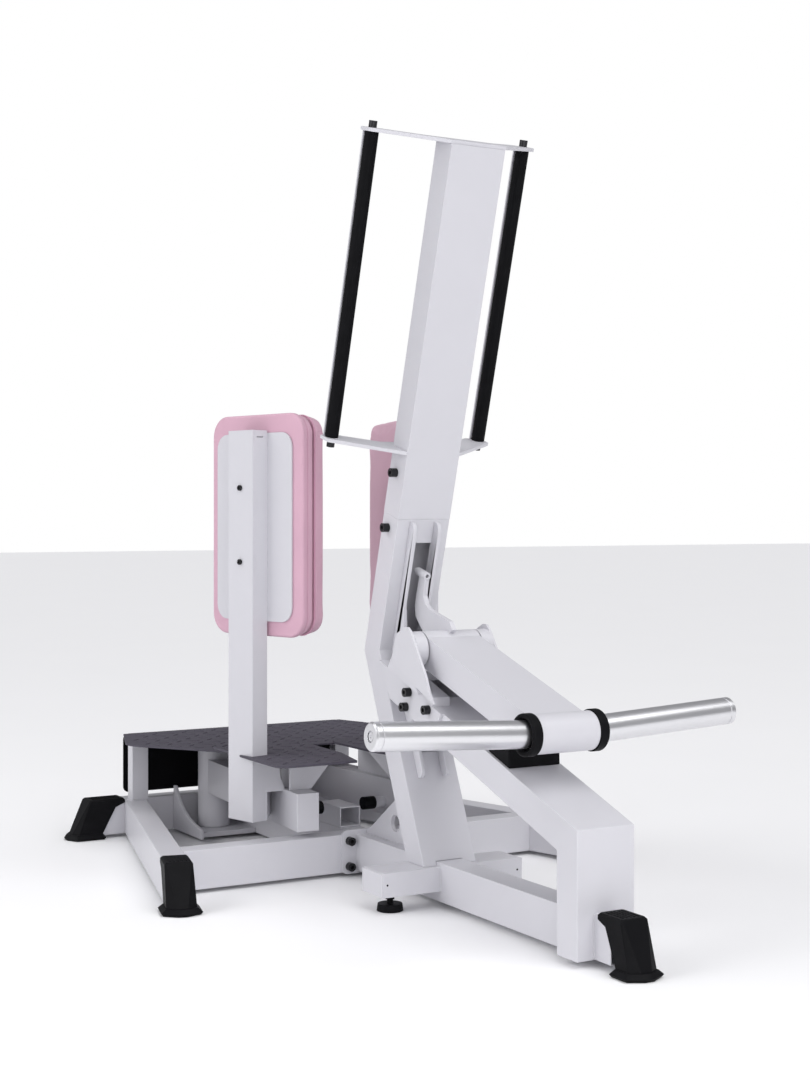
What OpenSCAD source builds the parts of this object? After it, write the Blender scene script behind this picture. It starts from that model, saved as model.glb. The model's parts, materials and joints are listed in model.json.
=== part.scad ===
// Plate-loaded standing hip abductor.
// Frame: +Z up, X = 0 is the symmetry plane, the weight lever faces -Y, the user stands at +Y.
// Origin: centre of the bounding box, on the floor.

/* [Frame tubes] */
// Wall thickness of every steel tube
wall = 3; // [2:0.5:4]
// Width of the floor tubes
floor_w = 50; // [40:1:55]
// Underside of the floor tubes
floor_z0 = 8; // [6:1:12]
// Top of the floor tubes
floor_z1 = 88; // [84:1:92]
// Splay of the two side beams, seen from above
splay = 14.8; // [12:0.1:18]
// Half length of the rear crossbeam
rear_half = 360; // [345:1:365]
// Front face of the rear crossbeam
rear_y = 781; // [775:1:790]
// Front face of the middle crossbeam
mid_y = 126; // [122:1:130]
// Width of the centre rail
rail_w = 60; // [50:1:60]
// Top of the centre rail
rail_z1 = 89; // [86:1:92]
// Underside of the centre rail
rail_z0 = 13; // [10:1:16]
// Half length of the stabiliser
stab_half = 160; // [150:1:170]
// Centre of the stabiliser
stab_y = -189; // [-192:1:-186]

/* [Column and brace] */
// Width of the column, the brace and the lever
box_w = 120; // [110:1:120]
// Thickness of the column, the brace and the lever
box_t = 60; // [55:1:60]
// Lean of the upper column towards the front
lean_up = 16.2; // [15:0.1:18]
// Lean of the lower column towards the back
lean_low = 23.5; // [22:0.1:25]
// Height of the column's bend
bend_z = 490; // [480:1:500]
// Front of the column's bend
bend_y = -38; // [-42:1:-34]
// Length of the upper column from its bend
column_l = 1014; // [980:1:1030]
// Where the column is split, from its bend
split_s = 276; // [260:1:290]
// Front face of the upright
upright_y = -723; // [-728:1:-718]
// Height of the upright at its front
upright_z = 234; // [228:1:240]
// Rise of the brace
brace_rise = 19.3; // [18.5:0.1:20]

/* [Handles] */
// Half distance between the two grips
grip_x = 172; // [165:1:180]
// Grip diameter
grip_d = 27; // [24:1:30]
// Grip length
grip_l = 600; // [590:1:605]
// Distance of the grips behind the column's front face
grip_t = 114; // [110:1:118]

/* [Weight lever] */
// Lever pivot, along the machine
pivot_y = -205; // [-208:1:-202]
// Lever pivot, above the floor
pivot_z = 503; // [500:1:506]
// Fall of the lever towards the front
lever_fall = 18.3; // [17.8:0.1:18.8]
// Diameter of a weight sleeve
sleeve_d = 50; // [48:0.5:50]
// Half span of the weight sleeves
sleeve_x = 383; // [360:1:400]
// Rise of each weight sleeve towards its end
sleeve_rise = 3; // [0:0.1:4]

/* [Arms] */
// Half distance between the two arm pivots
arm_x = 96; // [94:1:98]
// Arm pivots, along the machine
arm_y = 716; // [712:1:720]
// Diameter of the arm's hub
hub_d = 76; // [72:1:76]
// Length of an arm from its pivot
arm_l = 580; // [570:1:585]
// Splay of an arm at rest
arm_splay = 3.8; // [3:0.1:4.5]
// Underside of the arm tube
arm_z0 = 101; // [98:1:104]
// Top of the arm tube
arm_z1 = 181; // [178:1:184]

/* [Pads and foot plates] */
// Toe-in of the pads
toe_in = 15; // [12:0.5:18]
// Pad width
pad_w = 300; // [260:1:310]
// Pad height
pad_h = 474; // [440:1:490]
// Pad thickness
pad_t = 74; // [50:1:76]
// Underside of the pad
pad_z = 505; // [490:1:520]
// Top face of the foot plates
plate_z = 255; // [253:1:257]
// Top face of the platform
deck_z = 240; // [236:1:242]

/* [Hidden] */
$fn = 48;

frame_white = [0.83, 0.82, 0.86];
pad_pink = [0.86, 0.66, 0.74];
tread_grey = [0.22, 0.21, 0.25];
black = [0.03, 0.03, 0.035];
steel = [0.78, 0.78, 0.8];

over = 40;               // how far a cutting shape runs past what it cuts
fit_gap = 0.05;          // radial clearance of a running fit
clear = 0.4;             // gap between pieces that move past each other
slot_half = 24;          // half width of the slot in the column
fin_t = 8;
plate_t = 5;

// ---- outlines ----
function unit(v) = v / norm(v);
function left_normal(a, b) = let(d = unit(b - a)) [-d[1], d[0]];
// The outline p, anticlockwise, moved inwards by d
function inset(p, d) = [for (i = [0 : len(p) - 1])
    let(a = p[(i + len(p) - 1) % len(p)], b = p[i], c = p[(i + 1) % len(p)],
        m = left_normal(a, b), n = left_normal(b, c))
    b + d * (m + n) / (1 + m * n)];
// Round corner: points of an arc
function arc(c, r, a0, a1, n = 6) = [for (i = [0 : n]) let(a = a0 + (a1 - a0) * i / n)
    c + r * [cos(a), sin(a)]];

// ---- directions of the column and of the brace, in the YZ plane ----
up = [-sin(lean_up), cos(lean_up)];
up_back = [cos(lean_up), sin(lean_up)];
bend = [bend_y, bend_z];
half_angle = (lean_up + lean_low) / 2;
bend_dir = [cos((lean_up - lean_low) / 2), sin((lean_up - lean_low) / 2)];
// A point of the upper column: t behind its front face, s along it from the bend
function col(t, s) = bend + t * up_back + s * up;
// The bend at depth t
function col_bend(t) = bend + t / cos(half_angle) * bend_dir;
// The foot of the lower column at depth t and height z
function col_foot(t, z) = let(b = col_bend(t)) [b[0] - (b[1] - z) * tan(lean_low), z];
function brace_top(y) = upright_z + (y - upright_y) * tan(brace_rise);
brace_dz = box_t / cos(brace_rise);
// Where the brace's top or underside meets the column's front face
function brace_meet(dz) = let(k = tan(brace_rise), q = tan(lean_low),
    z = (upright_z - dz + k * (bend_y - upright_y - q * bend_z)) / (1 - k * q))
    [bend_y - (bend_z - z) * q, z];
upright_back = upright_y + box_t;
brace_outline = [[upright_y, 12], [upright_back, 12], [upright_back, brace_top(upright_back) - brace_dz],
    brace_meet(brace_dz), brace_meet(0), [upright_y, upright_z]];
lever_top = box_t / 2 / cos(lever_fall);
function lever_line(y, dz) = pivot_z + dz + (y - pivot_y) * tan(lever_fall);

// ---- placing ----
// A YZ outline, extruded along X from x0 to x1
module along_x(x0, x1) translate([x0, 0, 0]) rotate([90, 0, 90]) linear_extrude(x1 - x0) children();
module on_both_sides() { children(); mirror([1, 0, 0]) children(); }
// A frame fixed to the upper column: X across, Y behind its front face, Z along it from the bend
module on_column() translate([0, bend_y, bend_z]) rotate([lean_up, 0, 0]) children();
// A frame fixed to one side beam: +X runs outwards along it from the rear crossbeam
module on_side_beam(side) translate([side * 271, rear_y, 0]) rotate(side > 0 ? splay - 90 : -splay - 90) children();
// A frame fixed to an arm at rest: +X runs from the pivot to the arm's front end
module on_arm(side) translate([side * arm_x, arm_y, 0])
    rotate(side > 0 ? arm_splay - 90 : -arm_splay - 90) children();
// A frame fixed to the left pad: X is the inward normal, Y the pad's width, Z up
module on_pad(side) mirror([side > 0 ? 1 : 0, 0, 0]) translate([-197, 264, 0]) rotate(toe_in) children();

// ---- shared shapes ----
// A square tube with open ends: x0 to x1, w wide, z0 to z1
module tube(x0, x1, w, z0, z1) difference() {
    translate([x0, -w / 2, z0]) cube([x1 - x0, w, z1 - z0]);
    translate([x0 - over, -w / 2 + wall, z0 + wall])
        cube([x1 - x0 + 2 * over, w - 2 * wall, z1 - z0 - 2 * wall]);
}
// A round bar along X
module bar_x(x0, x1, d) translate([x0, 0, 0]) rotate([0, 90, 0]) cylinder(h = x1 - x0, d = d);
// A socket head screw head, its seat at the origin, pointing along +Z
module screw_head(d, h) difference() {
    cylinder(h = h, d = d);
    translate([0, 0, h / 2]) cylinder(h = h, d = d / 2, $fn = 6);
}
// A rounded rectangle, w by h, centred
module round_rect(w, h, r) polygon(concat(
    arc([w / 2 - r, h / 2 - r], r, 0, 90), arc([r - w / 2, h / 2 - r], r, 90, 180),
    arc([r - w / 2, r - h / 2], r, 180, 270), arc([w / 2 - r, r - h / 2], r, 270, 360)));

// ---- floor frame ----
module rear_crossbeam() color(frame_white) translate([0, rear_y + floor_w / 2, 0])
    tube(-rear_half, rear_half, floor_w, floor_z0, floor_z1);
beam_l = 748;            // length of a side beam's top
beam_cut = 34;           // how much longer a side beam is at its underside
module side_beam_solid(side) on_side_beam(side) rotate([90, 0, 0]) translate([0, 0, -floor_w / 2])
    linear_extrude(floor_w) polygon([[-over, floor_z0], [beam_l + beam_cut, floor_z0],
        [beam_l, floor_z1], [-over, floor_z1]]);
module side_beam(side) color(frame_white) difference() {
    side_beam_solid(side);
    on_side_beam(side) translate([-2 * over, -floor_w / 2 + wall, floor_z0 + wall])
        cube([beam_l + 6 * over, floor_w - 2 * wall, floor_z1 - floor_z0 - 2 * wall]);
    translate([-rear_half - over, rear_y, 0]) cube([2 * rear_half + 2 * over, 3 * floor_w, 2 * floor_z1]);
}
module mid_crossbeam() color(frame_white) difference() {
    translate([0, mid_y + floor_w / 2, 0]) tube(-450, 450, floor_w, floor_z0, floor_z1);
    for (side = [-1, 1]) side_beam_solid(side);
    for (side = [-1, 1]) on_side_beam(side) translate([0, side * (floor_w / 2 + 100) - 100, 0])
        cube([beam_l, 200, 2 * floor_z1]);
}
module rear_spine_tube() color(frame_white) rotate(90)
    tube(mid_y + floor_w, rear_y, floor_w, floor_z0, floor_z1);
channel_y0 = 200;
channel_y1 = 300;
module stop_channel() color(frame_white) rotate(90)
    tube(channel_y0, channel_y1, floor_w, floor_z1, floor_z1 + 44);
flange_t = 8;
stub_y = -770;           // front end of the centre rail's stub
stub_z1 = 92;
module centre_rail() color(frame_white) {
    rotate(90) tube(upright_back, mid_y - flange_t, rail_w, rail_z0, rail_z1);
    rotate(90) tube(stub_y, upright_y, floor_w, rail_z0, stub_z1);
}
module joint_flange() color(frame_white) {
    difference() {
        translate([0, mid_y, 52]) rotate([90, 0, 0]) linear_extrude(flange_t) round_rect(124, 92, 12);
        flange_bolts() translate([0, 0, -over]) cylinder(h = 2 * over, d = 12.2);
    }
    difference() {
        along_x(-4, 4) polygon([col_foot(box_t, rail_z1), [mid_y - flange_t, rail_z1],
            [mid_y - flange_t, 97], [102, 103], col_foot(box_t, 232)]);
        along_x(-over, over) translate([-5, 128]) circle(d = 35);
    }
}
module flange_bolts() for (x = [-46, 46], z = [22, 76]) translate([x, mid_y - flange_t, z])
    rotate([90, 0, 0]) children();
stab_z0 = 34;
stab_z1 = 81;
stab_w = 80;
foot_x = 120;            // a levelling foot, from the middle
module stabiliser_stubs() color(frame_white) on_both_sides() {
    difference() {
        translate([0, stab_y, 0]) tube(rail_w / 2, stab_half - 4, stab_w, stab_z0, stab_z1);
        translate([foot_x, stab_y, 0]) cylinder(h = 60, d = 12.2);
    }
    translate([stab_half - 4, 1 + stab_y - stab_w / 2, stab_z0 + 1]) cube([4, stab_w - 2, stab_z1 - stab_z0 - 2]);
}
module levelling_feet() on_both_sides() translate([foot_x, stab_y, 0]) color(black) {
    cylinder(h = 14, d1 = 52, d2 = 48);
    translate([0, 0, 14]) cylinder(h = 24, d = 12);
    translate([0, 0, 22]) cylinder(h = 8, d = 20, $fn = 6);
}

// ---- column, upright and brace ----
module front_upright_brace() color(frame_white) difference() {
    along_x(-box_w / 2, box_w / 2) polygon(brace_outline);
    along_x(-box_w / 2 + wall, box_w / 2 - wall) polygon(inset(brace_outline, wall));
    translate([-slot_half, stab_y - 35, 0]) cube([2 * slot_half, 2 * over, 2 * bend_z]);
}
module column_outline(t0, t1, z0, s1) polygon([col_foot(t0, z0), col_foot(t1, z0), col_bend(t1),
    col(t1, s1), col(t0, s1), col_bend(t0)]);
// The slot that the lever's crank reaches through
module column_slot() along_x(-slot_half, slot_half) polygon([col_foot(-over, 290), col_foot(over / 4, 290),
    col_bend(over / 4), col(over / 4, 226), col(-over, 226), col_bend(-over)]);
module column_lower() color(frame_white) difference() {
    along_x(-box_w / 2, box_w / 2) column_outline(0, box_t, stab_z1, split_s);
    along_x(-box_w / 2 + wall, box_w / 2 - wall) column_outline(wall, box_t - wall, stab_z1 - over, split_s + over);
    column_slot();
    translate([-rail_w / 2 - 0.5, stab_y - 2 * over, 0]) cube([rail_w + 1, 5 * over, rail_z1 + 0.5]);
    splice_bolts([splice_low]) translate([0, 0, -over]) cylinder(h = 2 * over, d = 12.2);
}
module column_upper() color(frame_white) difference() {
    on_column() translate([-box_w / 2, 0, split_s]) cube([box_w, box_t, column_l - split_s]);
    on_column() translate([-box_w / 2 + wall, wall, split_s - over])
        cube([box_w - 2 * wall, box_t - 2 * wall, column_l]);
    splice_bolts([splice_high]) translate([0, 0, -over]) cylinder(h = 2 * over, d = 12.2);
}
splice_low = [35, 248.5];
splice_high = [34, 363];
splice_w = box_w - 2 * wall;
module column_splice() color(frame_white) on_column() difference() {
    translate([-splice_w / 2, wall, 228]) cube([splice_w, box_t - 2 * wall, 180]);
    translate([-splice_w / 2 + 5, wall + 5, 200]) cube([splice_w - 10, box_t - 2 * wall - 10, 250]);
    for (p = [splice_low, splice_high]) translate([0, p[0], p[1]]) bar_x(-over * 2, over * 2, 12.2);
}
module splice_bolts(places) on_column() for (side = [-1, 1], p = places)
    translate([side * box_w / 2, p[0], p[1]]) rotate([0, side * 90, 0]) children();
module column_fins() color(frame_white) on_both_sides() along_x(slot_half, slot_half + fin_t) difference() {
    polygon([col_foot(0, 243), col_bend(0), col(0, 272), col(-10, 271), col(-16, 268), col(-20, 261), col(-22, 250),
        col(-22, 102), [-97, 420], [-159, 268], [-162, 258], [-160, 249], [-154, 244]]);
    polygon(brace_outline);
}
side_plate_t = 6;
module brace_side_plates() color(frame_white) on_both_sides() difference() {
    along_x(box_w / 2, box_w / 2 + side_plate_t) polygon([brace_meet(0), [-288, brace_top(-288)], [-286, 380],
        [-277, 369], [-262, 354], [-250, 345], [-236, 342], [-84, 409]]);
    side_bolts() translate([0, 0, -over]) cylinder(h = 2 * over, d = 12.2);
}
module side_bolts() for (p = [[-171, 417], [-159, 387], [-244, 389.5]])
    translate([box_w / 2 + side_plate_t, p[0], p[1]]) rotate([0, 90, 0]) children();
ear_x = 87;
ear_t = 5;
ear_bore = ear_x + 2;
saddle_t = 17;
saddle_x = box_w / 2 + side_plate_t;
module pivot_saddle() color(frame_white) difference() {
    union() {
        along_x(-saddle_x, saddle_x) polygon([[-258, brace_top(-258)], [-100, brace_top(-100)],
            [-100, brace_top(-100) + saddle_t], [-258, brace_top(-258) + saddle_t]]);
        on_both_sides() along_x(box_w / 2 - 4, ear_x) polygon([[-240, brace_top(-240) + saddle_t - 1],
            [-120, brace_top(-120) + saddle_t - 1], [-135, brace_top(-135) + 44], [-225, brace_top(-225) + 40]]);
    }
    translate([-slot_half - 3, stab_y - 75, 0]) cube([2 * slot_half + 6, 3 * over, 2 * bend_z]);
}
module ear_outline() polygon([[-162, 531], [-196, 547], [-208, 547], [-218, 540], [-275, 459], [-289, 428],
    [-305, 407], [-235, 436], [-154, 471], [-145, 485]]);
module pivot_ears() color(frame_white) on_both_sides() {
    difference() {
        union() {
            along_x(ear_x, ear_x + ear_t) ear_outline();
            translate([0, pivot_y, pivot_z]) bar_x(box_w / 2 + 2.5, ear_x, barrel_d);
        }
        translate([0, pivot_y, pivot_z]) bar_x(0, ear_bore, shaft_d + 2 * fit_gap);
    }
}
shaft_d = 30;
barrel_d = 70;           // the lever's hub barrel
module lever_shaft() color(steel) translate([0, pivot_y, pivot_z]) bar_x(-ear_bore, ear_bore, shaft_d);
bumper_y0 = -509;
bumper_y1 = -440;
module lever_stop_bumper() color(black) along_x(-56, 56) polygon([[bumper_y0, brace_top(bumper_y0)],
    [bumper_y1, brace_top(bumper_y1)], [bumper_y1, lever_line(bumper_y1, -lever_top) - clear],
    [bumper_y0 + 2, lever_line(bumper_y0 + 2, -lever_top) - clear]]);

// ---- rubber feet ----
// A cap over the end of a tube floor_w wide whose top is at z1. +X runs outwards from the back of the cap's
// top: the top ends at crest, the sole stands on the floor from heel to toe.
cap_top = 4;             // height of a cap above its tube
cap_half = floor_w / 2 + 3;
sole_half = 40;
sole_t = 13;
module nose_outline(x0, x1, half, back) polygon([[x0, half], [x0, -half], [x1 - back, -half], [x1, -9], [x1, 9],
    [x1 - back, half]]);
module cap_slice(z) translate([0, 0, z]) linear_extrude(0.1) children();
module foot_cap(z1, crest, heel, toe) {
    intersection() {
        rotate([90, 0, 0]) translate([0, 0, -sole_half]) linear_extrude(2 * sole_half)
            polygon([[0, z1 + cap_top], [0, z1 - 6], [24, z1 - 16], [heel + 2, sole_t], [heel + 2, 2],
                [toe, 2], [toe, z1 + cap_top]]);
        hull() {
            cap_slice(z1 + cap_top - 0.1) translate([crest / 2, 0]) round_rect(crest - 6, 2 * cap_half - 8, 4);
            cap_slice(z1) translate([crest / 2, 0]) round_rect(crest, 2 * cap_half, 4);
            cap_slice(2) nose_outline(0, toe - 7, cap_half + 2, 13);
        }
    }
    hull() {
        cap_slice(0) nose_outline(heel, toe - 3, sole_half - 4, 16);
        cap_slice(5) nose_outline(heel - 2, toe, sole_half, 16);
        cap_slice(sole_t) nose_outline(heel + 2, toe - 6, cap_half + 3, 14);
    }
    for (y = [-16, -8, 0, 8, 16]) translate([10, y - 1, z1]) cube([crest - 20, 2, cap_top + 1]);
}
module feet_on_side_beams() for (side = [-1, 1]) difference() {
    on_side_beam(side) translate([beam_l - 32, 0, 0]) foot_cap(floor_z1, 76, 69, 142);
    side_beam_solid(side);
}
module rubber_feet() color(black) {
    feet_on_side_beams();
    on_both_sides() difference() {
        translate([297, rear_y + floor_w / 2, 0]) foot_cap(floor_z1, 88, 54, 138);
        translate([0, rear_y, floor_z0]) cube([rear_half, floor_w, floor_z1 - floor_z0]);
    }
    difference() {
        translate([0, -735, 0]) rotate(-90) foot_cap(stub_z1, 68, 52, 111);
        translate([-floor_w / 2, stub_y, rail_z0]) cube([floor_w, 100, stub_z1 - rail_z0]);
    }
    translate([-25, upright_back + 2, 0]) cube([50, 40, rail_z0]);
}

// ---- platform ----
deck_t = 4;
module deck_outline() polygon(concat([[291, 807], [-291, 807]], arc([-265, 640], 80, 172, 222),
    [[-201, 420], [201, 420]], arc([265, 640], 80, -42, 8)));
module platform_plate() color(tread_grey) {
    translate([0, 0, deck_z - deck_t]) linear_extrude(deck_t) deck_outline();
}
module platform_posts() color(frame_white) on_both_sides() translate([269.5, 766, 0]) rotate([0, -90, 0])
    tube(floor_z1, deck_z - deck_t, 30, -20, 20);
module rear_skirt() color(black) translate([0, 807 + 3, (deck_z + 100) / 2]) rotate([90, 0, 0])
    linear_extrude(3) round_rect(582, deck_z - 100, 14);

// ---- arm pivots ----
base_z0 = floor_z0;
base_t = 12;
gusset_x = 166;
bridge_z = 222;
module pivot_base() color(frame_white) {
    difference() {
        translate([-gusset_x, 632, base_z0]) cube([2 * gusset_x, rear_y - 632, base_t]);
        on_both_sides() translate([arm_x, arm_y, 0]) cylinder(h = 60, d = shaft_d);
        translate([-floor_w / 2, 0, 0]) cube([floor_w, rear_y, floor_z1]);
    }
    on_both_sides() along_x(gusset_x, gusset_x + 8) polygon([[rear_y, base_z0], [rear_y, 112], [771, 112],
        [757, 92], [738, 73], [715, 58], [690, 47], [655, 38], [612, 30], [612, base_z0]]);
}
module pivot_bridge() color(frame_white) {
    difference() {
        translate([-150, 670, bridge_z]) cube([300, 136, 8]);
        on_both_sides() translate([arm_x, arm_y, 0]) cylinder(h = 300, d = shaft_d);
    }
    translate([-40, rear_y + 5, floor_z1]) cube([80, 20, bridge_z - floor_z1]);
    translate([-150, 680, bridge_z + 8]) cube([300, 120, deck_z - deck_t - bridge_z - 8]);
}
module arm_shaft(side) color(steel) translate([side * arm_x, arm_y, base_z0])
    cylinder(h = bridge_z + 8 - base_z0, d = shaft_d);
module left_arm_shaft() arm_shaft(-1);
module right_arm_shaft() arm_shaft(1);

// ---- handles ----
grip_s0 = column_l - grip_l;
bracket_t = 7;
module bracket_outline() polygon([[62, 2], [grip_x + 16, 97], [grip_x + 16, 132], [150, 132], [78, 84],
    [-78, 84], [-150, 132], [-grip_x - 16, 132], [-grip_x - 16, 97], [-62, 2]]);
module rod_holes() for (side = [-1, 1]) translate([side * grip_x, grip_t, -over]) cylinder(h = 2 * over, d = 12.2);
module handle_top_bracket() color(frame_white) on_column() translate([0, 0, column_l])
    difference() { linear_extrude(bracket_t) bracket_outline(); rod_holes(); }
module handle_lower_bracket() color(frame_white) on_column() translate([0, 0, grip_s0 - bracket_t]) difference() {
    linear_extrude(bracket_t) bracket_outline();
    rod_holes();
    translate([-box_w / 2, -over, -over]) cube([box_w, box_t + over, 2 * over]);
}
module at_grips() on_column() for (side = [-1, 1]) translate([side * grip_x, grip_t, 0]) children();
module grip_rods() color(steel) at_grips() translate([0, 0, grip_s0 - bracket_t])
    cylinder(h = grip_l + 2 * bracket_t, d = 12);
module grip_sleeves() color(black) at_grips() translate([0, 0, grip_s0]) difference() {
    cylinder(h = grip_l, d = grip_d);
    translate([0, 0, -over]) cylinder(h = grip_l + 2 * over, d = 12);
}
module grip_stays() color(frame_white) at_grips() translate([-11, 14.5, grip_s0]) cube([22, 4, grip_l]);
module grip_bolts() color(black) at_grips() {
    translate([0, 0, column_l + bracket_t]) screw_head(16, 13);
    translate([0, 0, grip_s0 - bracket_t]) mirror([0, 0, 1]) screw_head(16, 13);
}
module bolt(d, h, shank) { screw_head(d, h); translate([0, 0, -shank]) cylinder(h = shank, d = 12); }
module frame_bolts() color(black) {
    splice_bolts([splice_low, splice_high]) bolt(18, 14, 22);
    on_both_sides() side_bolts() bolt(18, 13, side_plate_t);
    flange_bolts() bolt(18, 14, flange_t);
}

// ---- weight lever ----
lever_y1 = -572;         // front end of the lever's box
carrier_y = -590;
carrier_z = 380.5;
carrier_d = 71;
carrier_half = 62;
lever_outline = [[lever_y1, lever_line(lever_y1, -lever_top)], [pivot_y, lever_line(pivot_y, -lever_top)],
    [pivot_y, lever_line(pivot_y, lever_top)], [lever_y1, lever_line(lever_y1, lever_top)]];
module lever_arm() color(frame_white) difference() {
    union() {
        difference() {
            along_x(-box_w / 2, box_w / 2) polygon(lever_outline);
            along_x(-box_w / 2 + wall, box_w / 2 - wall) polygon(inset(lever_outline, wall));
        }
        translate([0, pivot_y, pivot_z]) bar_x(-box_w / 2, box_w / 2, barrel_d);
    }
    translate([0, pivot_y, pivot_z]) bar_x(-100, 100, 42);
    translate([0, carrier_y, carrier_z]) bar_x(-100, 100, carrier_d);
}
module lever_bushes() color([0.7, 0.55, 0.25]) on_both_sides() translate([0, pivot_y, pivot_z]) difference() {
    bar_x(box_w / 2 - 30, box_w / 2 + 2, 42);
    bar_x(0, 100, shaft_d + 2 * fit_gap);
}
// The crank: a plate that rises from the lever's hub to a short tube for the cable's end
fitting = [-91, 651];
fitting_tilt = 15.4;
module on_fitting() translate([0, fitting[0], fitting[1]]) rotate([90 + fitting_tilt, 0, 0]) children();
module lever_crank() color(frame_white) difference() {
    along_x(-5, 5) difference() {
        polygon([[-232, 540], [-219, 556], [-164, 570], [-142, 576], [-128, 585], [-120, 602], [-126, 632],
            [-126, 644], [-103, 650], [-104, 640], [-91, 600], [-87, 580], [-89, 560], [-129, 520], [-170, 500]]);
        translate([pivot_y, pivot_z]) circle(d = barrel_d);
        polygon(lever_outline);
    }
    on_fitting() translate([0, 0, -1]) cylinder(h = 60, d = 16);
}
module cable_fitting() color(frame_white) on_fitting() difference() {
    union() {
        cylinder(h = 39, d = 16);
        translate([0, 0, -10]) cylinder(h = 10, d = 8);
    }
    translate([0, 0, 14]) cylinder(h = 40, d = 7);
}
module sleeve_carrier() color(frame_white) translate([0, carrier_y, carrier_z]) difference() {
    bar_x(-carrier_half, carrier_half, carrier_d);
    bar_x(-100, 100, core_d);
    on_both_sides() bar_x(carrier_half - 8, 100, core_d + 5);
}
sleeve_root = 57;
module on_sleeve(side) translate([0, carrier_y, carrier_z]) mirror([side < 0 ? 1 : 0, 0, 0])
    translate([sleeve_root, 0, 0]) rotate([0, -sleeve_rise, 0]) children();
cap_l = 14;
sleeve_l = (sleeve_x - sleeve_root) / cos(sleeve_rise) - cap_l;
core_d = 44;
sleeve_start = 19.5;
module weight_sleeves() color(steel) {
    translate([0, carrier_y, carrier_z]) bar_x(-sleeve_root, sleeve_root, core_d);
    for (side = [-1, 1]) on_sleeve(side) {
        bar_x(-1, sleeve_start, core_d + 2);
        bar_x(sleeve_start, sleeve_l, sleeve_d);
    }
}
module sleeve_collars() color(black) on_both_sides() translate([0, carrier_y, carrier_z]) difference() {
    union() {
        bar_x(carrier_half, carrier_half + 17, 76);
        translate([carrier_half + 17, 0, 0]) rotate([0, 90, 0]) cylinder(h = 3, d1 = 76, d2 = 70);
    }
    bar_x(0, 200, core_d + 5);
    translate([carrier_half + 9, 0, 0]) rotate([0, 90, 0]) cylinder(h = 11.1, d1 = core_d + 5, d2 = 64);
}
module sleeve_end_caps() color(steel) for (side = [-1, 1]) on_sleeve(side) translate([sleeve_l, 0, 0]) {
    difference() {
        union() {
            bar_x(0, 2, sleeve_d - 2);
            bar_x(2, cap_l - 3, sleeve_d);
            translate([cap_l - 3, 0, 0]) rotate([0, 90, 0]) cylinder(h = 3, d1 = sleeve_d, d2 = sleeve_d - 6);
        }
        bar_x(8, 20, 20);
    }
    translate([8, 0, 0]) rotate([0, 90, 0]) screw_head(15, 5);
}

// ---- arms, written for the left side and mirrored for the right ----
hub_z0 = base_z0 + base_t + 0.6;
hub_z1 = bridge_z - 0.6;
module at_left(side) mirror([side > 0 ? 1 : 0, 0, 0]) children();
module left_pivot() translate([-arm_x, arm_y, 0]) children();
module arm(side) color(frame_white) at_left(side) difference() {
    union() {
        difference() {
            on_arm(-1) tube(20, arm_l, floor_w, arm_z0, arm_z1);
            left_pivot() cylinder(h = 400, d = hub_d);
        }
        left_pivot() translate([0, 0, hub_z0]) cylinder(h = hub_z1 - hub_z0, d = hub_d);
        on_arm(-1) translate([arm_l, -floor_w / 2, arm_z0]) cube([3, floor_w, arm_z1 - arm_z0]);
    }
    left_pivot() cylinder(h = 400, d = 46);
}
module arm_bushes(side) color([0.7, 0.55, 0.25]) at_left(side) left_pivot() for (z = [hub_z0, hub_z1 - 30])
    translate([0, 0, z]) difference() {
        cylinder(h = 30, d = 46);
        cylinder(h = 100, d = shaft_d + 2 * fit_gap, center = true);
    }
stop_z = 129;            // height of the arms' stop bumpers
post_w = 80;
post_d = 40;
post_z0 = 116;
post_z1 = 943;
backing_t = 4;
post_y = -45;            // edge of the post, across the pad
// The post stands behind the pad's backing plate: its outer face is post_d further out
module pad_post(side) color(frame_white) at_left(side) {
    on_pad(-1) difference() {
        translate([-backing_t - post_d, post_y, post_z0]) difference() {
            cube([post_d, post_w, post_z1 - post_z0]);
            translate([wall, wall, -over]) cube([post_d - 2 * wall, post_w - 2 * wall, post_z1]);
        }
        translate([-33, post_y - 10, post_z1 - 16]) cube([18, 20, 3]);
    }
    difference() {
        union() {
            translate([0, 0, post_z0]) linear_extrude(arm_z1 - post_z0)
                polygon([[-189.4, 219.3], [-149.5, 285], [-143, 371], [-210, 296]]);
            foot_bracket();
        }
        on_arm(-1) translate([0, -floor_w / 2, 0]) cube([arm_l + 3, floor_w, arm_z1]);
        on_pad(-1) translate([-backing_t - post_d, post_y, 0]) cube([post_d, post_w, post_z1]);
    }
    difference() {
        translate([0, 239, stop_z]) bar_x(-140, -80, 24);
        on_arm(-1) translate([0, -floor_w / 2, 0]) cube([arm_l + 3, floor_w, 400]);
    }
}
// Plates that carry the foot plate on the arm
bracket_top = plate_z - plate_t;
module foot_bracket() {
    translate([0, 221, 0]) rotate([90, 0, 0]) linear_extrude(6)
        polygon([[-212, arm_z1 - 4], [-150, arm_z1 - 4], [-150, arm_z1], [-160, 205], [-165, bracket_top],
            [-212, bracket_top]]);
    translate([0, 195, 0]) rotate([90, 0, 0]) linear_extrude(6)
        polygon([[-150, arm_z1], [-100, arm_z1], [-40, bracket_top], [-150, bracket_top]]);
    translate([-150, 230, arm_z1]) cube([34, 150, bracket_top - arm_z1]);
}
module foot_outline() polygon(concat([[-31, 330], [-36, 170], [-62, 52]], arc([-215, 78], 26, -90, -182, 4),
    [[-241, 180], [-236, 395], [-208, 425], [-160, 400], [-40, 360]]));
module foot_plate(side) color(tread_grey) at_left(side) difference() {
    translate([0, 0, bracket_top]) linear_extrude(plate_t) foot_outline();
    on_pad(-1) translate([-backing_t - post_d - 0.5, post_y - 0.5, 0]) cube([post_d + 1, post_w + 1, post_z1]);
}
module stop_bumper(side) color(black) at_left(side) translate([0, 239, stop_z]) bar_x(-80, -50, 28);
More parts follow.
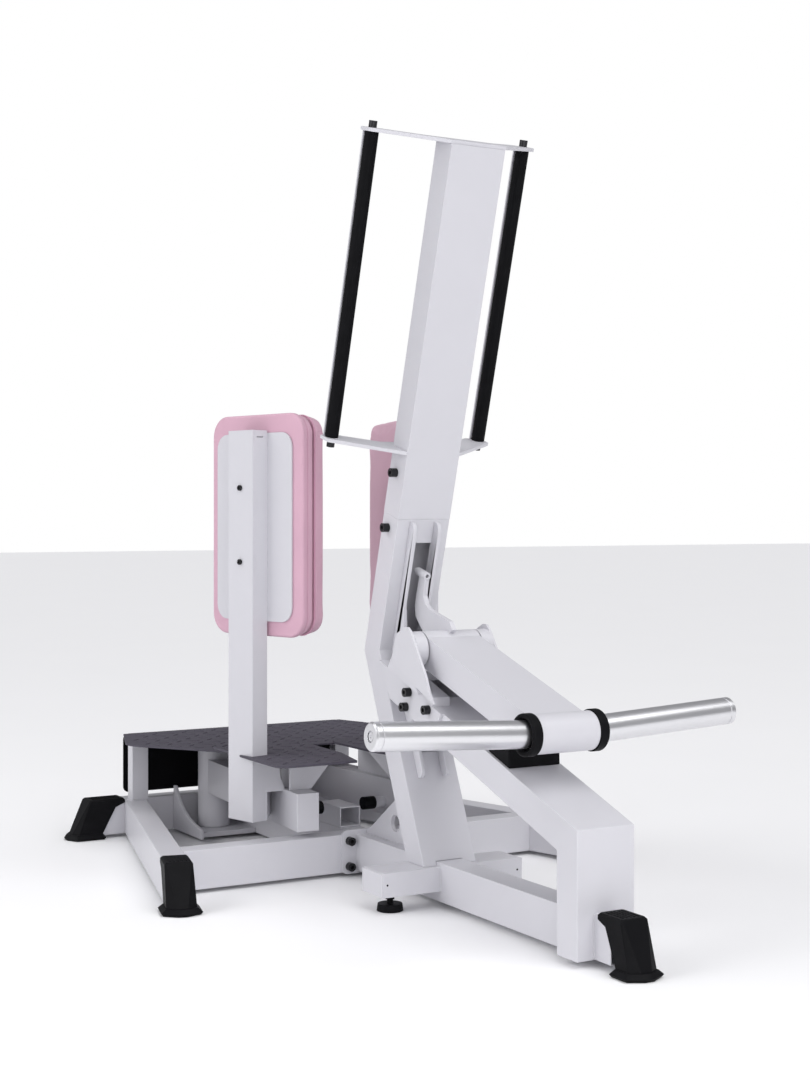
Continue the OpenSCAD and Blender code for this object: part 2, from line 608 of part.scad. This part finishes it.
module pad_backing(side) color(frame_white) at_left(side) on_pad(-1) translate([-backing_t, 0, 738]) difference() {
    rotate([90, 0, 90]) linear_extrude(backing_t) round_rect(246, 400, 32);
    for (z = [-74, 83]) translate([-over, post_y + post_w / 2, z]) rotate([0, 90, 0])
        cylinder(h = 2 * over, d = 8.2);
}
module pad(side) color(pad_pink) at_left(side) on_pad(-1) translate([0.3, -4, pad_z + pad_h / 2])
    rotate([90, 0, 90]) linear_extrude(pad_t) round_rect(pad_w, pad_h, 46);
module pad_bolts(side) color(black) at_left(side) on_pad(-1) for (z = [664, 821])
    translate([-backing_t - post_d, post_y + post_w / 2, z]) rotate([0, -90, 0]) screw_head(12, 5);

module left_side_beam() side_beam(-1);
module right_side_beam() side_beam(1);
module left_arm() arm(-1);
module right_arm() arm(1);
module left_arm_bushes() arm_bushes(-1);
module right_arm_bushes() arm_bushes(1);
module left_pad_post() pad_post(-1);
module right_pad_post() pad_post(1);
module left_foot_plate() foot_plate(-1);
module right_foot_plate() foot_plate(1);
module left_stop_bumper() stop_bumper(-1);
module right_stop_bumper() stop_bumper(1);
module left_pad_backing() pad_backing(-1);
module right_pad_backing() pad_backing(1);
module left_pad() pad(-1);
module right_pad() pad(1);
module left_pad_bolts() pad_bolts(-1);
module right_pad_bolts() pad_bolts(1);

rear_crossbeam();
left_side_beam();
right_side_beam();
mid_crossbeam();
rear_spine_tube();
stop_channel();
centre_rail();
joint_flange();
stabiliser_stubs();
levelling_feet();
front_upright_brace();
column_lower();
column_upper();
column_splice();
column_fins();
brace_side_plates();
pivot_saddle();
pivot_ears();
lever_shaft();
lever_stop_bumper();
rubber_feet();
platform_plate();
platform_posts();
rear_skirt();
pivot_base();
pivot_bridge();
left_arm_shaft();
right_arm_shaft();
handle_top_bracket();
handle_lower_bracket();
grip_rods();
grip_sleeves();
grip_stays();
grip_bolts();
frame_bolts();
lever_arm();
lever_bushes();
lever_crank();
cable_fitting();
sleeve_carrier();
weight_sleeves();
sleeve_collars();
sleeve_end_caps();
left_arm();
left_arm_bushes();
left_pad_post();
left_foot_plate();
left_stop_bumper();
left_pad_backing();
left_pad();
left_pad_bolts();
right_arm();
right_arm_bushes();
right_pad_post();
right_foot_plate();
right_stop_bumper();
right_pad_backing();
right_pad();
right_pad_bolts();
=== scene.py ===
"""Standing hip abductor: finishes, pads, tread plate, welds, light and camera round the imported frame."""

import json
import math

import bpy
import bmesh
from mathutils import Matrix, Vector

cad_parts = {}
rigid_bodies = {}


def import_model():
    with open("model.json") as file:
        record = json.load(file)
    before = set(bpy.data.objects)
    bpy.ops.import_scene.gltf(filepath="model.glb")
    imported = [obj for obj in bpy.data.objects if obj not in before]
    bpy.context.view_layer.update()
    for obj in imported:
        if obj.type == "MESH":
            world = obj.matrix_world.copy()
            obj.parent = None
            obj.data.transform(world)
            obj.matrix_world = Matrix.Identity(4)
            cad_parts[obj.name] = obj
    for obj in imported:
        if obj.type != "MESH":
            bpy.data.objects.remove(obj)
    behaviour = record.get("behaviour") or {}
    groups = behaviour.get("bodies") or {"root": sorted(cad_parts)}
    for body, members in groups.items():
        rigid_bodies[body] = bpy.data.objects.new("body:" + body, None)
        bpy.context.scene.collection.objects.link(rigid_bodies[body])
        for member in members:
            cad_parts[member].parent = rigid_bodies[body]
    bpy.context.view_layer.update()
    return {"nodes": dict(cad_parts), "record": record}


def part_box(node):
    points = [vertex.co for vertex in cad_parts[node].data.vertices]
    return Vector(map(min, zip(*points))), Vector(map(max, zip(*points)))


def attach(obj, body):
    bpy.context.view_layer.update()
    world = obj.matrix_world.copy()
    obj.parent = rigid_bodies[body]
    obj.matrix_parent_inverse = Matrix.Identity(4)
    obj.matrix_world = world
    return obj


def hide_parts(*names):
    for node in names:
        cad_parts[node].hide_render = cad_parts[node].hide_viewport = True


for leftover in list(bpy.data.objects):
    bpy.data.objects.remove(leftover)
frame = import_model()
record = frame["record"]
SLOT_OF = {s["node"]: s["material_slot"] for s in record["subparts"]}
SIDES = (("left", "left_arm_group"), ("right", "right_arm_group"))
SAME_POINT = 1e-6

# ---------------------------------------------------------------- materials

WHITE = (0.61, 0.605, 0.645)
PINK = (0.62, 0.375, 0.475)
DEEP_PINK = (0.57, 0.30, 0.41)
RUBBER_BLACK = (0.0055, 0.0055, 0.0066)
FOAM_BLACK = (0.0045, 0.0045, 0.0055)
PANEL_BLACK = (0.004, 0.004, 0.005)
TREAD_GREY = (0.060, 0.054, 0.076)
STEEL = (0.80, 0.80, 0.82)
OXIDE_BLACK = (0.022, 0.022, 0.024)
BRONZE = (0.55, 0.38, 0.17)
FLOOR_PALE = (0.95, 0.95, 0.96)
DULL = 0.07  # specular level of rubber, foam and the black panels


class Nodes:
    """A material's node tree, with short calls to build it."""

    def __init__(self, name):
        self.material = bpy.data.materials.new(name)
        self.material.use_nodes = True
        self.tree = self.material.node_tree
        self.shader = next(n for n in self.tree.nodes if n.type == "BSDF_PRINCIPLED")
        self.where = self.add("ShaderNodeTexCoord").outputs["Object"]

    def add(self, kind, **values):
        node = self.tree.nodes.new(kind)
        for key, value in values.items():
            setattr(node, key, value)
        return node

    def link(self, a, b):
        self.tree.links.new(a, b)

    def set(self, **values):
        for key, value in values.items():
            self.shader.inputs[key.replace("_", " ")].default_value = value

    def stretched(self, scale):
        node = self.add("ShaderNodeMapping")
        node.inputs["Scale"].default_value = scale
        self.link(self.where, node.inputs["Vector"])
        return node.outputs["Vector"]

    def noise(self, scale, detail=3.0, roughness=0.5, where=None):
        node = self.add("ShaderNodeTexNoise")
        node.inputs["Scale"].default_value = scale
        node.inputs["Detail"].default_value = detail
        node.inputs["Roughness"].default_value = roughness
        self.link(where or self.where, node.inputs["Vector"])
        return node.outputs["Fac"]

    def cells(self, scale, feature="F1"):
        node = self.add("ShaderNodeTexVoronoi", feature=feature)
        node.inputs["Scale"].default_value = scale
        self.link(self.where, node.inputs["Vector"])
        return node.outputs["Distance"]

    def ramp(self, fac, stops):
        node = self.add("ShaderNodeValToRGB")
        while len(node.color_ramp.elements) < len(stops):
            node.color_ramp.elements.new(0.5)
        for element, (at, color) in zip(node.color_ramp.elements, stops):
            element.position = at
            element.color = (*color, 1.0)
        self.link(fac, node.inputs["Fac"])
        return node.outputs["Color"]

    def varied(self, color, spread, scale):
        """The color, a little darker and lighter from place to place."""
        low, high = (tuple(c * (1 + spread * k) for c in color) for k in (-1, 1))
        return self.ramp(self.noise(scale, 4.0), [(0.3, low), (0.5, color), (0.7, high)])

    def span(self, fac, low, high):
        node = self.add("ShaderNodeMapRange")
        node.inputs["To Min"].default_value = low
        node.inputs["To Max"].default_value = high
        self.link(fac, node.inputs["Value"])
        return node.outputs["Result"]

    def bump(self, height, distance, strength, under=None):
        node = self.add("ShaderNodeBump")
        node.inputs["Strength"].default_value = strength
        node.inputs["Distance"].default_value = distance
        self.link(height, node.inputs["Height"])
        if under is not None:
            self.link(under, node.inputs["Normal"])
        return node.outputs["Normal"]

    def finish(self, color, roughness, normal=None):
        for value, socket in ((color, "Base Color"), (roughness, "Roughness"), (normal, "Normal")):
            if value is not None:
                self.link(value, self.shader.inputs[socket])
        return self.material


def powder_coat():
    n = Nodes("powder_coat_white")
    n.set(Coat_Weight=0.12, Coat_Roughness=0.25)
    peel = n.bump(n.noise(420.0, 2.0), 0.00012, 0.35)
    wave = n.bump(n.noise(60.0, 1.0), 0.0003, 0.12, under=peel)
    return n.finish(n.varied(WHITE, 0.01, 9.0), n.span(n.noise(30.0), 0.36, 0.46), wave)


def vinyl():
    n = Nodes("vinyl_pink")
    n.set(Sheen_Weight=0.12, Sheen_Roughness=0.5)
    grain = n.bump(n.cells(420.0, "SMOOTH_F1"), 0.00025, 0.35)
    crease = n.bump(n.noise(55.0, 5.0, 0.6), 0.0006, 0.18, under=grain)
    return n.finish(n.varied(PINK, 0.025, 14.0), n.span(n.noise(120.0), 0.44, 0.56), crease)


def welt_vinyl():
    n = Nodes("vinyl_welt")
    grain = n.bump(n.cells(500.0), 0.0002, 0.4)
    return n.finish(n.varied(DEEP_PINK, 0.03, 30.0), n.span(n.noise(90.0), 0.45, 0.6), grain)


def rubber():
    n = Nodes("rubber_black")
    n.set(Specular_IOR_Level=DULL)
    grain = n.bump(n.noise(900.0, 2.0), 0.00015, 0.5)
    mould = n.bump(n.noise(70.0), 0.0003, 0.2, under=grain)
    return n.finish(n.varied(RUBBER_BLACK, 0.15, 25.0), n.span(n.noise(45.0), 0.42, 0.58), mould)


def foam_grip():
    n = Nodes("grip_foam")
    n.set(Specular_IOR_Level=DULL)
    pores = n.bump(n.cells(1300.0), 0.0002, 0.5)
    soft = n.bump(n.noise(90.0), 0.0004, 0.25, under=pores)
    return n.finish(n.varied(FOAM_BLACK, 0.2, 40.0), n.span(n.noise(60.0), 0.5, 0.66), soft)


def tread_coat():
    n = Nodes("tread_coat")
    speck = n.bump(n.noise(1100.0), 0.0002, 0.6)
    return n.finish(n.varied(TREAD_GREY, 0.08, 60.0), n.span(n.noise(50.0), 0.5, 0.66), speck)


def panel():
    n = Nodes("panel_black")
    n.set(Specular_IOR_Level=DULL)
    speck = n.bump(n.noise(700.0, 2.0), 0.0001, 0.4)
    return n.finish(n.varied(PANEL_BLACK, 0.1, 20.0), n.span(n.noise(30.0), 0.45, 0.6), speck)


def turned_steel():
    n = Nodes("turned_steel")
    n.set(Metallic=1.0)
    lathe = n.bump(n.noise(2200.0, 3.0, 0.6, n.stretched((1.0, 0.02, 0.02))), 0.00003, 0.3)
    return n.finish(n.varied(STEEL, 0.01, 40.0), n.span(n.noise(90.0), 0.27, 0.31), lathe)


def black_oxide():
    n = Nodes("black_oxide")
    n.set(Metallic=0.6)
    fine = n.bump(n.noise(800.0, 2.0), 0.00008, 0.4)
    return n.finish(n.varied(OXIDE_BLACK, 0.2, 80.0), n.span(n.noise(90.0), 0.2, 0.3), fine)


def bearing_bronze():
    n = Nodes("bearing_bronze")
    n.set(Metallic=1.0)
    fine = n.bump(n.noise(600.0), 0.00008, 0.4)
    return n.finish(n.varied(BRONZE, 0.08, 60.0), n.span(n.noise(80.0), 0.25, 0.4), fine)


def floor_finish():
    n = Nodes("floor_pale")
    return n.finish(n.varied(FLOOR_PALE, 0.003, 1.5), n.span(n.noise(3.0), 0.75, 0.85))


LOOK = {
    "white_paint": powder_coat(),
    "pink_vinyl": vinyl(),
    "black_rubber": rubber(),
    "tread_plate": tread_coat(),
    "black_panel": panel(),
    "satin_steel": turned_steel(),
    "black_steel": black_oxide(),
    "bronze": bearing_bronze(),
}
WELT = welt_vinyl()
FOAM = foam_grip()

# ---------------------------------------------------------------- CAD nodes: finish and softened edges

# The width of the rounded edges, by finish. The vinyl nodes have none: the built pads replace them.
EDGE = {"white_paint": 0.0014, "black_rubber": 0.0016, "tread_plate": 0.0006,
        "black_panel": 0.0006, "satin_steel": 0.0009, "black_steel": 0.0006, "bronze": 0.0004}
# Nodes whose own edges are rounder or sharper than their finish's.
NODE_EDGE = {"rubber_feet": 0.003, "lever_stop_bumper": 0.003, "sleeve_collars": 0.0035,
             "pivot_ears": 0.001, "frame_bolts": 0.0013, "grip_bolts": 0.0012,
             "left_pad_bolts": 0.0009, "right_pad_bolts": 0.0009}
WELD_REACH = 1e-5
FLAT_ANGLE = math.radians(0.3)  # facets that differ by less lie in one plane
SHARP_ANGLE = math.radians(32)  # edges that turn by more are rounded


def soften(o, width):
    """Joins o's split vertices, merges the facets of its flat faces and rounds its sharp edges."""
    weld = o.modifiers.new("weld", "WELD")
    weld.merge_threshold = WELD_REACH
    flat = o.modifiers.new("flat", "DECIMATE")
    flat.decimate_type = "DISSOLVE"
    flat.angle_limit = FLAT_ANGLE
    bevel = o.modifiers.new("edges", "BEVEL")
    bevel.width = width
    bevel.segments = 2
    bevel.limit_method = "ANGLE"
    bevel.angle_limit = SHARP_ANGLE
    bevel.harden_normals = False
    normals = o.modifiers.new("normals", "WEIGHTED_NORMAL")
    normals.keep_sharp = False


for name, o in frame["nodes"].items():
    kind = SLOT_OF[name]
    for s in o.material_slots:
        s.material = FOAM if name == "grip_sleeves" else LOOK[kind]
    if kind in EDGE:
        soften(o, NODE_EDGE.get(name, EDGE[kind]))

# ---------------------------------------------------------------- building pieces


def place_in_scene(name, data):
    o = bpy.data.objects.new(name, data)
    bpy.context.scene.collection.objects.link(o)
    return o


def piece(name, mesh, kind, body, material=None):
    o = place_in_scene(name, mesh)
    o.data.materials.append(material or LOOK[kind])
    if body:
        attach(o, body)
    return o


def mesh_of(bm, name):
    """bm as a mesh; bm is freed."""
    mesh = bpy.data.meshes.new(name)
    bm.to_mesh(mesh)
    bm.free()
    return mesh


def smoothed(mesh):
    for p in mesh.polygons:
        p.use_smooth = True
    return mesh


def bridge(bm, a, b):
    """A closed band of faces between two rings of as many vertices."""
    n = len(a)
    for i in range(n):
        bm.faces.new((a[i], a[(i + 1) % n], b[(i + 1) % n], b[i]))


def applied(o):
    """o's mesh with its modifiers applied, as a new mesh."""
    graph = bpy.context.evaluated_depsgraph_get()
    return bpy.data.meshes.new_from_object(o.evaluated_get(graph), depsgraph=graph)


def arc(cx, cy, r, a0, a1, steps):
    angles = [math.radians(a0 + (a1 - a0) * i / steps) for i in range(steps + 1)]
    return [(cx + r * math.cos(a), cy + r * math.sin(a)) for a in angles]


def round_rect(w, h, r, steps):
    """A w x h rectangle round the origin with corners of radius r."""
    x, y = w / 2 - r, h / 2 - r
    return (arc(x, y, r, 0, 90, steps) + arc(-x, y, r, 90, 180, steps)
            + arc(-x, -y, r, 180, 270, steps) + arc(x, -y, r, 270, 360, steps))


# ---------------------------------------------------------------- pads
# A pad is built in its own frame, with its board at X = 0 and its front towards +X, then set on the
# left arm and mirrored to the right.

PAD_W, PAD_H, PAD_R = 0.300, 0.474, 0.046
PAD_AT = Vector((-0.197, 0.264, 0.742))
TOE_IN = math.radians(15)
PAD_SHIFT = Vector((0.0, -0.004, 0.0))
PAD_FRAME = (Matrix.Translation(PAD_AT) @ Matrix.Rotation(TOE_IN, 4, "Z")
             @ Matrix.Translation(PAD_SHIFT))
PAD_INSET = 0.0010  # the layers stay this far inside the pad's outline

# Each layer's label, back, front, room kept for its crown, how far it swells, and edge rounding.
LAYERS = (("board", 0.0008, 0.0160, 0.0, 0.0, 0.005),
          ("middle", 0.0170, 0.0375, 0.0, 0.003, 0.006),
          ("front", 0.0385, 0.0740, 0.003, 0.005, 0.009))
WELTS = (("welt_16", 0.0165), ("welt_38", 0.0380))  # each welt's label and place in the pad
WELT_RADIUS = 0.0017
WELT_INSET = 0.005

FOAM_VOXEL = 0.005
PINNED_DEPTH = 0.004  # the back of a layer that its board holds flat
FOAM_PRESSURE = 4.0
COVER_MASS = 0.3
COVER_STRETCH = 15
COVER_BEND = 0.5
SIM_FRAMES = 20


def pad_layer(x0, x1, inset, rounding):
    """A slab x0..x1 thick with the pad's outline and rounded long edges."""
    e = min(rounding, (x1 - x0) * 0.48)
    quarter = [(x0 + e + x, e + y) for x, y in arc(0, 0, -e, 0, 90, 6)]
    profile = quarter + [(x1 - (x - x0), d) for x, d in reversed(quarter)]
    bm = bmesh.new()
    rings = []
    for x, d in profile:
        cut = inset + d
        outline = round_rect(PAD_W - 2 * cut, PAD_H - 2 * cut, PAD_R - cut, 10)
        rings.append([bm.verts.new((x, y, z)) for y, z in outline])
    for a, b in zip(rings, rings[1:]):
        bridge(bm, a, b)
    bm.faces.new(list(reversed(rings[0])))
    bm.faces.new(rings[-1])
    bmesh.ops.remove_doubles(bm, verts=bm.verts, dist=SAME_POINT)
    bmesh.ops.recalc_face_normals(bm, faces=bm.faces)
    return mesh_of(bm, "pad_layer")


def inflate(o, swell, x_stop):
    """Blows o up as a pinned cloth; no point moves more than swell, or out of the layer's depth."""
    rest = [v.co.copy() for v in o.data.vertices]
    pins = o.vertex_groups.new(name="pins")
    back = min(p.x for p in rest)
    pins.add([i for i, p in enumerate(rest) if p.x < back + PINNED_DEPTH], 1.0, "REPLACE")
    cloth = o.modifiers.new("cloth", "CLOTH")
    s = cloth.settings
    s.use_pressure = True
    s.uniform_pressure_force = FOAM_PRESSURE
    s.quality = 5
    s.mass = COVER_MASS
    s.tension_stiffness = s.compression_stiffness = s.shear_stiffness = COVER_STRETCH
    s.bending_stiffness = COVER_BEND
    s.vertex_group_mass = "pins"
    s.effector_weights.gravity = 0
    cloth.point_cache.frame_start, cloth.point_cache.frame_end = 1, SIM_FRAMES
    scene = bpy.context.scene
    for f in range(1, SIM_FRAMES + 1):
        scene.frame_set(f)
        bpy.context.evaluated_depsgraph_get()
    moved = applied(o)
    o.modifiers.clear()
    for v, p, m in zip(o.data.vertices, rest, moved.vertices):
        d = m.co - p
        if d.length > swell:
            d *= swell / d.length
        q = p + d
        v.co = Vector((min(max(q.x, x_stop[0]), x_stop[1]), q.y, q.z))
    scene.frame_set(1)


def puffed(mesh, swell, x_stop):
    """mesh, swelled like foam under a tight cover."""
    o = place_in_scene("pad_work", mesh)
    remesh = o.modifiers.new("remesh", "REMESH")
    remesh.mode = "VOXEL"
    remesh.voxel_size = FOAM_VOXEL
    o.data = applied(o)
    o.modifiers.clear()
    inflate(o, swell, x_stop)
    smooth = o.modifiers.new("smooth", "SMOOTH")
    smooth.factor, smooth.iterations = 0.5, 3
    sub = o.modifiers.new("sub", "SUBSURF")
    sub.levels = sub.render_levels = 1
    result = applied(o)
    bpy.data.objects.remove(o)
    return result


def without_repeats(points):
    """The points of a closed outline, each place only once."""
    kept = []
    for p in points:
        if not kept or (Vector(p) - Vector(kept[-1])).length > WELD_REACH:
            kept.append(p)
    if (Vector(kept[0]) - Vector(kept[-1])).length < WELD_REACH:
        kept.pop()
    return kept


def ring_tube(outline, x, radius, sides=8):
    """A closed tube of the given radius that follows an outline in the pad's plane."""
    bm = bmesh.new()
    n = len(outline)
    loops = []
    for i in range(n):
        along = (Vector(outline[(i + 1) % n]) - Vector(outline[i - 1])).normalized()
        out = Vector((along.y, -along.x))
        loop = []
        for k in range(sides):
            turn = 2 * math.pi * k / sides
            q = Vector(outline[i]) + out * (radius * math.cos(turn))
            loop.append(bm.verts.new((x + radius * math.sin(turn), q.x, q.y)))
        loops.append(loop)
    for i in range(n):
        bridge(bm, loops[i], loops[(i + 1) % n])
    bmesh.ops.recalc_face_normals(bm, faces=bm.faces)
    return mesh_of(bm, "welt")


def pad_meshes():
    """The layers and welts of one pad, in the pad's own frame."""
    made = []
    for label, x0, x1, crown, swell, rounding in LAYERS:
        mesh = pad_layer(x0, x1 - crown, PAD_INSET + swell * 0.5, rounding)
        made.append((label, puffed(mesh, swell, (x0, x1)) if swell else mesh))
    cut = WELT_INSET
    seam = without_repeats(round_rect(PAD_W - 2 * cut, PAD_H - 2 * cut, PAD_R - cut, 12))
    return made + [(label, ring_tube(seam, x, WELT_RADIUS)) for label, x in WELTS]


def both_pads():
    made = pad_meshes()
    for side, body in SIDES:
        for label, mesh in made:
            m = mesh.copy()
            m.transform(PAD_FRAME)
            if side == "right":
                m.transform(Matrix.Scale(-1, 4, (1, 0, 0)))
                m.flip_normals()
            m.materials.clear()
            cover = WELT if label.startswith("welt") else None
            o = piece(f"{side}_pad_{label}", smoothed(m), "pink_vinyl", body, cover)
            if label == "front":
                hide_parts(f"{side}_pad")


both_pads()

# ---------------------------------------------------------------- tread bars

PITCH = 0.038
BAR_L, BAR_W, BAR_H = 0.028, 0.0056, 0.0018
CREST_L, CREST_W = 0.88, 0.55  # the crest's share of the bar's length and width
BAR_SINK = 0.0002
BAR_MARGIN = 0.004  # a bar keeps this far from the plate's edge
BAR_STEPS = 10


def inside(p, outline):
    hit = False
    for (x0, y0), (x1, y1) in zip(outline, outline[1:] + outline[:1]):
        if (y0 > p[1]) != (y1 > p[1]) and p[0] < (x1 - x0) * (p[1] - y0) / (y1 - y0) + x0:
            hit = not hit
    return hit


def bar(bm, cx, cy, z, angle):
    """One raised lens-shaped bar of tread plate."""
    c, s = math.cos(angle), math.sin(angle)

    def ring(long, wide, h):
        """The bar's outline at height h, with its length and width scaled."""
        half = []
        for i in range(BAR_STEPS + 1):
            u = -1 + 2 * i / BAR_STEPS
            half.append((u * BAR_L / 2 * long, math.sqrt(1 - u ** 4) * BAR_W / 2 * wide))
        near, far = ([bm.verts.new((cx + x * c - k * y * s, cy + x * s + k * y * c, z + h))
                      for x, y in run] for k, run in ((-1, half), (1, half[1:-1])))
        return near + far[::-1]

    low = ring(1, 1, 0)
    top = ring(CREST_L, CREST_W, BAR_H)
    bridge(bm, low, top)
    bm.faces.new(top)
    bm.faces.new(low[::-1])


def top_outline(node):
    """The outline of a flat plate, read from the edges round its top face."""
    mesh = frame["nodes"][node].data
    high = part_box(node)[1].z
    bm = bmesh.new()
    bm.from_mesh(mesh)
    bmesh.ops.remove_doubles(bm, verts=bm.verts, dist=SAME_POINT)
    top = [f for f in bm.faces if all(abs(v.co.z - high) < WELD_REACH for v in f.verts)]
    chosen = set(top)
    rim = [e for f in top for e in f.edges if sum(g in chosen for g in e.link_faces) == 1]
    follow = {}
    for e in rim:
        a, b = e.verts
        follow.setdefault(a, []).append(b)
        follow.setdefault(b, []).append(a)
    start = max(follow, key=lambda v: v.co.y)
    path, last, at = [start], None, start
    while True:
        onward = next(v for v in follow[at] if v is not last)
        last, at = at, onward
        if at is start:
            break
        path.append(at)
    points = [(v.co.x, v.co.y) for v in path]
    bm.free()
    return points


def tread(name, node, body):
    """Bars at PITCH, turned in turn to +45 and -45 degrees, wherever a whole bar fits on the plate."""
    low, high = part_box(node)
    outline = top_outline(node)
    z = high.z - BAR_SINK
    cx, cy = (low.x + high.x) / 2, (low.y + high.y) / 2
    n = int(max(high.x - low.x, high.y - low.y) / PITCH) + 2
    half = BAR_L / 2 + BAR_MARGIN
    bm = bmesh.new()
    for i in range(-n, n + 1):
        for j in range(-n, n + 1):
            px, py = cx + i * PITCH, cy + j * PITCH
            a = math.radians(45 if (i + j) % 2 == 0 else -45)
            ends = [(px + k * half * math.cos(a), py + k * half * math.sin(a)) for k in (-1, 1)]
            if all(inside(e, outline) for e in ends):
                bar(bm, px, py, z, a)
    bmesh.ops.recalc_face_normals(bm, faces=bm.faces)
    piece(name, mesh_of(bm, name), "tread_plate", body)


tread("platform_tread", "platform_plate", "frame")
for side, body in SIDES:
    tread(f"{side}_foot_tread", f"{side}_foot_plate", body)

# ---------------------------------------------------------------- weld beads, and black discs painted as the shade of the stub pin holes

BEAD_RADIUS = 0.0024
BEAD_SIDES = 8
RIPPLE_STEP = 0.55  # of the radius

# The left ends of the joints that show, each from one end of the bead to the other.
WELD_RUNS = (
    # stabiliser stub to centre rail: the front edge, then the top edge
    ((-0.030, -0.229, 0.0345), (-0.030, -0.229, 0.0805)),
    ((-0.030, -0.229, 0.0812), (-0.030, -0.149, 0.0812)),
    # front stub to the upright, and centre rail to the upright's back
    ((-0.025, -0.7232, 0.014), (-0.025, -0.7232, 0.091)),
    ((-0.030, -0.6632, 0.014), (-0.030, -0.6632, 0.088)),
    # platform post to side beam: the front edge, then the outer edge
    ((-0.250, 0.7505, 0.0885), (-0.2885, 0.7505, 0.0885)),
    ((-0.2900, 0.7515, 0.0885), (-0.2900, 0.7800, 0.0885)),
)


def bead(bm, a, b, radius, seed):
    """A fillet weld from a to b: a row of overlapping low ripples."""
    a, b = Vector(a), Vector(b)
    along = b - a
    n = max(4, int(along.length / (radius * RIPPLE_STEP)))
    side = along.cross(Vector((0, 0, 1)))
    if side.length < SAME_POINT:
        side = Vector((1, 0, 0))
    side.normalize()
    over = side.cross(along).normalized()
    turns = [2 * math.pi * k / BEAD_SIDES for k in range(BEAD_SIDES)]
    rings = []
    for i in range(n + 1):
        p = a + along * (i / n)
        r = radius * (0.86 + 0.14 * math.cos(math.pi * i) + 0.05 * math.sin(seed + 2.1 * i))
        if i in (0, n):
            r *= 0.45
        rings.append([bm.verts.new(p + side * (r * math.cos(t)) + over * (r * math.sin(t)))
                      for t in turns])
    for u, v in zip(rings, rings[1:]):
        bridge(bm, u, v)
    bm.faces.new(rings[0][::-1])
    bm.faces.new(rings[-1])


def frame_welds():
    """One piece with every run of WELD_RUNS and its mirror image."""
    bm = bmesh.new()
    for i, (a, b) in enumerate(WELD_RUNS):
        bead(bm, a, b, BEAD_RADIUS, i)
        bead(bm, (-a[0], a[1], a[2]), (-b[0], b[1], b[2]), BEAD_RADIUS, i + 0.5)
    bmesh.ops.recalc_face_normals(bm, faces=bm.faces)
    piece("frame_welds", smoothed(mesh_of(bm, "frame_welds")), "white_paint", "frame")


def stub_hole_shades():
    """A black disc in the front face of each stabiliser stub: painted shade where its pin hole is."""
    bm = bmesh.new()
    # no hole is cut; the dark disc paints the shade inside the pin hole
    for x in (-0.148, 0.148):
        face = Matrix.Translation((x, -0.2291, 0.058)) @ Matrix.Rotation(math.radians(90), 4, "X")
        bmesh.ops.create_cone(bm, cap_ends=True, segments=20, radius1=0.0022, radius2=0.0018,
                              depth=0.0012, matrix=face)
    piece("stub_hole_shades", mesh_of(bm, "stub_hole_shades"), "black_steel", "frame")


frame_welds()
stub_hole_shades()

# ---------------------------------------------------------------- floor, light, camera

FLOOR_HALF = 30.0
FLOOR_Z = -0.0005


def floor_plane():
    bm = bmesh.new()
    bmesh.ops.create_grid(bm, x_segments=1, y_segments=1, size=FLOOR_HALF)
    bmesh.ops.translate(bm, verts=bm.verts, vec=(0, 0, FLOOR_Z))
    return place_in_scene("floor", mesh_of(bm, "floor"))


floor = floor_plane()
floor.data.materials.append(floor_finish())


def area(name, place, target, size, power):
    data = bpy.data.lights.new(name, "AREA")
    data.shape = "RECTANGLE"
    data.size, data.size_y = size
    data.energy = power
    o = place_in_scene(name, data)
    o.location = place
    o.rotation_euler = (Vector(target) - Vector(place)).to_track_quat("-Z", "Y").to_euler()


def sun(name, heading, height, strength, spread):
    """A distant light at a heading (degrees from +X) and a height above the floor."""
    data = bpy.data.lights.new(name, "SUN")
    data.energy = strength
    data.angle = math.radians(spread)
    o = place_in_scene(name, data)
    a, e = math.radians(heading), math.radians(height)
    toward = Vector((math.cos(e) * math.cos(a), math.cos(e) * math.sin(a), math.sin(e)))
    o.rotation_euler = toward.to_track_quat("Z", "Y").to_euler()


def studio_world(color, strength):
    """An even light from all round that the camera sees as plain white."""
    world = bpy.data.worlds.new("studio")
    bpy.context.scene.world = world
    world.use_nodes = True
    sky = world.node_tree
    background = sky.nodes["Background"]
    background.inputs["Color"].default_value = color
    background.inputs["Strength"].default_value = strength
    seen = sky.nodes.new("ShaderNodeBackground")
    seen.inputs["Color"].default_value = (1.0, 1.0, 1.0, 1.0)
    mix = sky.nodes.new("ShaderNodeMixShader")
    ray = sky.nodes.new("ShaderNodeLightPath")
    sky.links.new(ray.outputs["Is Camera Ray"], mix.inputs[0])
    sky.links.new(background.outputs[0], mix.inputs[1])
    sky.links.new(seen.outputs[0], mix.inputs[2])
    sky.links.new(mix.outputs[0], sky.nodes["World Output"].inputs["Surface"])


def view_from(place, heading, lens, shift_y):
    """A level camera that looks along a heading, in degrees from +Y towards +X."""
    data = bpy.data.cameras.new("camera")
    data.lens = lens
    data.sensor_width = 36.0
    data.sensor_fit = "AUTO"
    data.shift_y = shift_y
    camera = place_in_scene("camera", data)
    camera.location = place
    camera.rotation_euler = (math.radians(90), 0, -math.radians(heading))
    bpy.context.scene.camera = camera


area("front", (-0.9, -4.2, 1.6), (0.0, 0.0, 0.6), (3.6, 2.8), 62)
area("left", (-4.0, -0.2, 2.0), (0.0, 0.0, 0.9), (2.4, 2.4), 42)
sun("overhead", -70, 62, 1.5, 50)
sun("behind", 150, 35, 0.75, 40)
studio_world((0.96, 0.96, 1.0, 1.0), 0.33)
view_from((-1.7343, -3.0603, 0.7662), 29.85, 56.8, -0.0243)
bpy.context.scene.view_settings.view_transform = "Standard"
bpy.context.scene.view_settings.look = "None"
